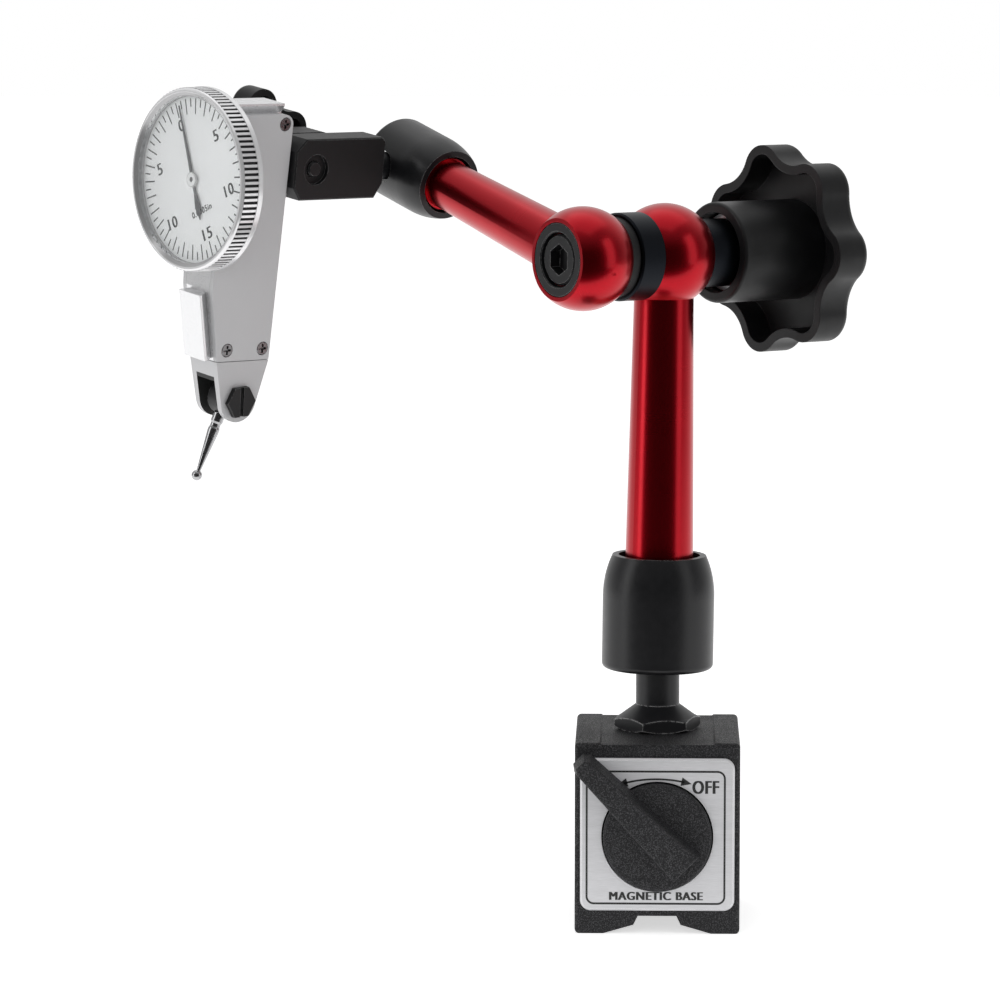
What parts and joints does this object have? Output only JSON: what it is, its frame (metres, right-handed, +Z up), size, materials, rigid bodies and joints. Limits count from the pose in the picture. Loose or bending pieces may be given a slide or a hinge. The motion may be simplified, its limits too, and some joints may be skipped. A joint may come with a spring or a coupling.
{
  "type": "dial test indicator on magnetic base",
  "caption": "Lever dial test indicator held by a central-locking jointed arm on a small switchable magnetic base.",
  "frame": {"origin": "centre of the magnetic base's footprint, on the surface it stands on", "axes": "+Z up; -Y is the front, where the switch and its plate are; +X is to the right seen from the front"},
  "size_m": [0.135, 0.0636, 0.1529],
  "materials": {
    "base_enamel": "pebbled black enamel",
    "spacer_brass": "painted over",
    "magnet": "ground ferrite",
    "switch_black": "pebbled black",
    "plate_aluminium": "brushed, printed",
    "black_steel": "black oxide",
    "bright_steel": "turned steel",
    "red_anodised": "red anodised, glossy",
    "collar_grey": "dark anodised",
    "washer_black": "nylon",
    "knob_black": "satin moulded",
    "insert_brass": "turned",
    "clamp_black": "black anodised",
    "satin_chrome": "satin chromed",
    "bezel_chrome": "bright chromed, knurled",
    "dial_white": "white enamel, printed",
    "clear": "clear",
    "needle_black": "blued",
    "jewel_red": "synthetic ruby"
  },
  "bodies": {
    "base": {"base_left_pole": "base_enamel", "base_right_pole": "base_enamel", "base_spacer": "spacer_brass", "label_plate": "plate_aluminium", "base_back_cover": "base_enamel", "base_cover_screws": "bright_steel"},
    "switch": {"switch_knob": "switch_black", "magnet_rotor": "magnet", "switch_tie_screw": "bright_steel"},
    "lower_stud": {"lower_ball_stud": "black_steel"},
    "lower_socket": {"lower_sleeve": "black_steel"},
    "lower_arm": {"lower_arm": "red_anodised", "elbow_collar": "collar_grey", "elbow_washer": "washer_black", "knob_boss": "collar_grey", "knob_washer": "bright_steel"},
    "lower_pin": {"lower_push_pin": "bright_steel"},
    "bolt": {"draw_bolt": "black_steel", "lower_wedge": "bright_steel", "upper_wedge": "bright_steel"},
    "main_knob": {"main_knob": "knob_black", "main_knob_insert": "insert_brass"},
    "upper_arm": {"upper_arm": "red_anodised", "elbow_end_ring": "black_steel"},
    "upper_pin": {"upper_push_pin": "bright_steel"},
    "upper_socket": {"upper_sleeve": "black_steel"},
    "upper_stud": {"upper_ball_stud": "black_steel"},
    "clamp": {"clamp_front_jaw": "clamp_black", "clamp_screw": "black_steel"},
    "rear_jaw": {"clamp_rear_jaw": "clamp_black"},
    "clamp_knob": {"clamp_knob": "knob_black"},
    "indicator": {"indicator_frame": "satin_chrome", "indicator_right_cover": "satin_chrome", "indicator_left_cover": "satin_chrome", "indicator_cover_screws": "bright_steel", "indicator_nose": "satin_chrome", "pivot_screw": "black_steel", "jewel_bearings": "jewel_red"},
    "bezel": {"bezel": "bezel_chrome", "dial_face": "dial_white", "crystal": "clear"},
    "pointer": {"pointer": "needle_black", "pointer_arbor": "bright_steel"},
    "crown": {"crown_wheel": "insert_brass"},
    "lever": {"lever_sector": "bright_steel"},
    "stylus": {"stylus_hub": "black_steel", "stylus": "bright_steel"}
  },
  "joints": [
    {"name": "switch_turn", "type": "hinge", "parent": "base", "child": "switch", "pos_m": [0, -0.017, 0.018], "axis": [0, 1, 0], "range_deg": [0, 90]},
    {"name": "lower_stud_spin", "type": "hinge", "parent": "base", "child": "lower_stud", "pos_m": [0, 0.002, 0.0515], "axis": [0, 0, 1], "continuous": true},
    {"name": "lower_lean", "type": "hinge", "parent": "lower_stud", "child": "lower_socket", "pos_m": [0, 0.002, 0.0515], "axis": [-1, 0, 0], "range_deg": [0, 88]},
    {"name": "lower_arm_turn", "type": "hinge", "parent": "lower_socket", "child": "lower_arm", "pos_m": [0, 0.002, 0.0515], "axis": [0.014, 0, 0.9999], "continuous": true},
    {"name": "elbow_fold", "type": "hinge", "parent": "lower_arm", "child": "upper_arm", "pos_m": [0.00099, 0.002, 0.12216], "axis": [0.7825, 0.6226, -0.0109], "continuous": true},
    {"name": "main_knob_turn", "type": "hinge", "parent": "lower_arm", "child": "main_knob", "pos_m": [0.00099, 0.002, 0.12216], "axis": [0.7825, 0.6226, -0.0109], "range_deg": [0, 217]},
    {"name": "bolt_draw", "type": "slide", "parent": "lower_arm", "child": "bolt", "axis": [-0.7825, -0.6226, 0.0109], "range_m": [0, 0.0006]},
    {"name": "lower_pin_push", "type": "slide", "parent": "lower_arm", "child": "lower_pin", "axis": [0.014, 0, 0.9999], "range_m": [0, 0.000226]},
    {"name": "upper_pin_push", "type": "slide", "parent": "upper_arm", "child": "upper_pin", "axis": [0.5984, -0.7568, -0.2632], "range_m": [0, 0.000226]},
    {"name": "upper_sleeve_turn", "type": "hinge", "parent": "upper_arm", "child": "upper_socket", "pos_m": [-0.04647, 0.03155, 0.13674], "axis": [-0.5984, 0.7568, 0.2632], "continuous": true},
    {"name": "upper_stud_swing", "type": "hinge", "parent": "upper_socket", "child": "upper_stud", "pos_m": [-0.04647, 0.03155, 0.13674], "axis": [-0.1881, 0.1865, -0.9643], "range_deg": [-3, 93]},
    {"name": "clamp_spin", "type": "hinge", "parent": "upper_stud", "child": "clamp", "pos_m": [-0.04647, 0.03155, 0.13674], "axis": [-0.7406, -0.6718, 0.0145], "continuous": true},
    {"name": "clamp_knob_turn", "type": "hinge", "parent": "clamp", "child": "clamp_knob", "pos_m": [-0.06727, 0.01253, 0.13804], "axis": [-0.6648, 0.7358, 0.1288], "range_deg": [0, 181]},
    {"name": "rear_jaw_open", "type": "slide", "parent": "clamp", "child": "rear_jaw", "axis": [-0.6648, 0.7358, 0.1288], "range_m": [0, 0.00025]},
    {"name": "indicator_slide", "type": "slide", "parent": "clamp", "child": "indicator", "axis": [0.0972, -0.0857, 0.9916], "range_m": [-0.003, 0.003]},
    {"name": "bezel_turn", "type": "hinge", "parent": "indicator", "child": "bezel", "pos_m": [-0.08592, -0.00398, 0.13612], "axis": [-0.7406, -0.6718, 0.0145], "continuous": true},
    {"name": "lever_rock", "type": "hinge", "parent": "indicator", "child": "lever", "pos_m": [-0.07994, 0.00859, 0.09517], "axis": [0.6648, -0.7358, -0.1288], "range_deg": [-1.42, 1.42], "stiffness_Nm_per_rad": 0.05},
    {"name": "crown_turn", "type": "hinge", "parent": "indicator", "child": "crown", "pos_m": [-0.07594, 0.00507, 0.13593], "axis": [0.6648, -0.7358, -0.1288], "range_deg": [-26, 26]},
    {"name": "pointer_turn", "type": "hinge", "parent": "indicator", "child": "pointer", "pos_m": [-0.08592, -0.00398, 0.13612], "axis": [-0.7406, -0.6718, 0.0145], "range_deg": [-181, 181]},
    {"name": "stylus_swivel", "type": "hinge", "parent": "lever", "child": "stylus", "pos_m": [-0.07994, 0.00859, 0.09517], "axis": [0.6648, -0.7358, -0.1288], "range_deg": [-92, 60]}
  ],
  "couplings": [
    {"joint": "main_knob_turn", "follows": "bolt_draw", "rad_per_m": 6283.2},
    {"joint": "lower_pin_push", "follows": "bolt_draw", "ratio": 0.375},
    {"joint": "upper_pin_push", "follows": "bolt_draw", "ratio": 0.375},
    {"joint": "clamp_knob_turn", "follows": "rear_jaw_open", "rad_per_m": 12566},
    {"joint": "crown_turn", "follows": "lever_rock", "ratio": -18.028},
    {"joint": "pointer_turn", "follows": "lever_rock", "ratio": -126.76}
  ]
}
